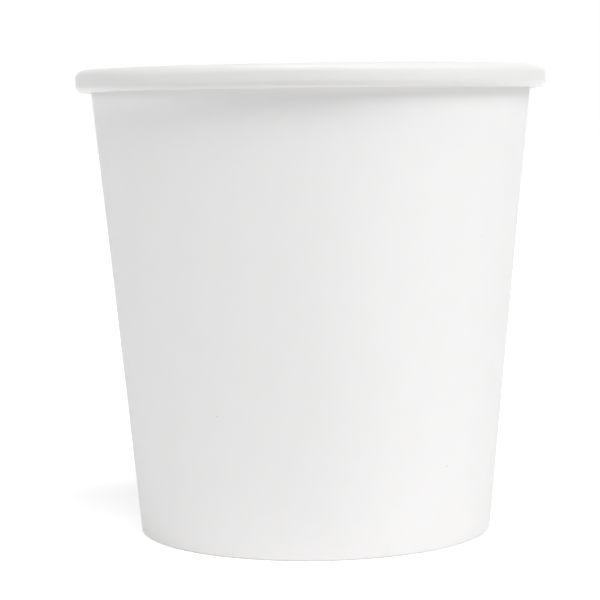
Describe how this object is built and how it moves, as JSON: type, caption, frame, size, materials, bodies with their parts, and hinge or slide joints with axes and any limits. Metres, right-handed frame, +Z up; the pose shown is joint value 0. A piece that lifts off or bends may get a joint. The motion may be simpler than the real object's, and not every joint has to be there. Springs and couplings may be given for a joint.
{
  "type": "paper coffee cup",
  "caption": "Small tapered single-wall paper coffee cup with a rolled rim, a lapped side seam and a recessed base, for holding a hot drink.",
  "frame": {"origin": "centre of the base, on the surface that the cup stands on", "axes": "+Z up the cup's axis towards the open mouth, +Y towards the lapped side seam, and -Y towards the plain front"},
  "size_m": [0.062, 0.062, 0.0613],
  "materials": {
    "cup_board": "matte",
    "base_board": "satin"
  },
  "bodies": {
    "root": {"sidewall": "cup_board", "base_disc": "base_board"}
  },
  "joints": []
}
